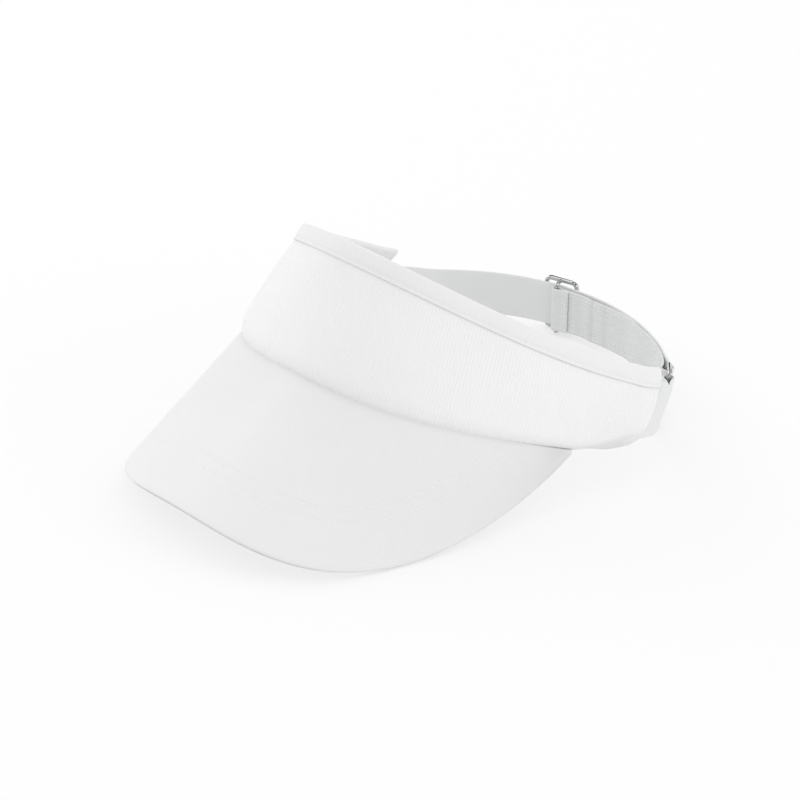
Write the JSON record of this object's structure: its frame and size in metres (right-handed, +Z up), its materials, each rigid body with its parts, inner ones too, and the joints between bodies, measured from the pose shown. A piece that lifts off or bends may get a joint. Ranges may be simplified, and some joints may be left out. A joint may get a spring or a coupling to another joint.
{
  "type": "sun visor",
  "caption": "Open-topped fabric sun visor with a curved peak, a padded brow band and a webbing back strap adjusted by a metal tri-glide and a rectangular ring.",
  "frame": {"origin": "centre of the bounding box's base; z = 0 is the surface that the visor stands on", "axes": "+X is the wearer's left, -Y is the front where the peak points, +Z is up; the visor stands on the sides of its peak and on the metal fittings of its strap"},
  "size_m": [0.1866, 0.2569, 0.1068],
  "materials": {
    "twill": "white cotton twill with fine upright ribs",
    "peak_twill": "white cotton twill, smooth and tight over the board",
    "binding": "white cotton bias tape, folded and topstitched",
    "lining": "off-white woven interlining, matt",
    "band_cloth": "white brushed cotton, soft and matt",
    "foam": "thin pale foam padding",
    "board": "moulded natural polyethylene, matt",
    "webbing": "white cotton webbing, ribbed outside and smooth inside",
    "thread": "white polyester sewing thread",
    "chrome": "bright nickel-plated steel wire"
  },
  "bodies": {
    "root": {"crown_panel": "twill", "panel_backing": "lining", "top_binding": "binding", "binding_stitch": "thread", "sweatband": "band_cloth", "sweatband_foam": "foam", "sweatband_stitch": "thread", "peak_seam_allowance": "peak_twill", "peak_top_cover": "peak_twill", "peak_board": "board", "peak_under_cover": "peak_twill", "peak_stitch_outer": "thread", "peak_stitch_inner": "thread", "right_end_tack": "thread", "left_end_tack": "thread", "adjusting_strap": "webbing", "strap_stitch": "thread", "ring_tab": "webbing", "tab_stitch": "thread"},
    "glide": {"tri_glide": "chrome", "strap_return": "webbing", "return_stitch": "thread", "glide_loop_stitch": "thread"},
    "ring": {"rect_ring": "chrome"}
  },
  "joints": [
    {"name": "glide_travel", "type": "hinge", "parent": "root", "child": "glide", "pos_m": [0, 0.0277, 0.0137], "axis": [0, 0, -1], "range_deg": [-26, 10]},
    {"name": "ring_swing", "type": "hinge", "parent": "root", "child": "ring", "pos_m": [0.07395, 0.0918, 0.0137], "axis": [0, 0, 1], "range_deg": [-5, 5]}
  ]
}
